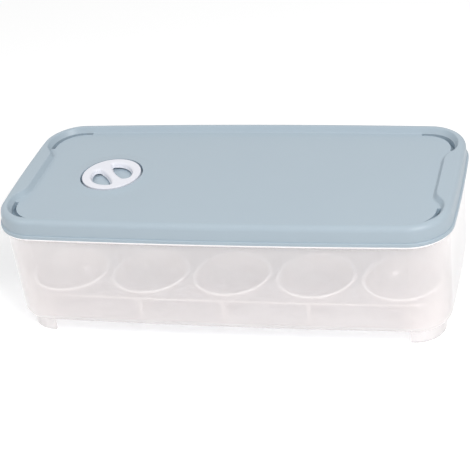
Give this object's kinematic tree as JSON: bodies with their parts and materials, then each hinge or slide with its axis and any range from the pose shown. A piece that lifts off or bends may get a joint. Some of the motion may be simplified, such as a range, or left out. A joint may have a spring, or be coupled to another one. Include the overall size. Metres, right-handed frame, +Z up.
{
  "type": "egg storage container",
  "caption": "Frosted lidded box with bowed walls and corner feet, a lift-out egg tray with round cups, and a pale blue push-on lid with a turning vent knob.",
  "frame": {"origin": "on the table plane under the middle of the box", "axes": "+X along the length with the vent knob on the -X side, +Y towards the back, +Z up towards the lid"},
  "size_m": [0.28, 0.1304, 0.084],
  "materials": {
    "frosted_polypropylene": "frosted translucent, satin outside",
    "clear_polypropylene": "translucent, glossy",
    "blue_polypropylene": "satin, moulded",
    "white_polypropylene": "satin white",
    "white_silicone": "soft matte"
  },
  "bodies": {
    "box": {"container_body": "frosted_polypropylene"},
    "tray": {"egg_tray": "clear_polypropylene"},
    "lid": {"lid": "blue_polypropylene", "lid_seal": "white_silicone"},
    "knob": {"vent_knob": "white_polypropylene", "vent_seals": "white_silicone"}
  },
  "joints": [
    {"name": "lid_lift", "type": "slide", "parent": "box", "child": "lid", "axis": [0, 0, 1], "range_m": [0, 0.16]},
    {"name": "tray_lift", "type": "slide", "parent": "box", "child": "tray", "axis": [0, 0, 1], "range_m": [0, 0.08]},
    {"name": "knob_turn", "type": "hinge", "parent": "lid", "child": "knob", "pos_m": [-0.079, 0, 0.0819], "axis": [0, 0, 1], "range_deg": [0, 90]}
  ],
  "couplings": [
    {"joint": "tray_lift", "follows": "lid_lift", "ratio": 0.5}
  ]
}
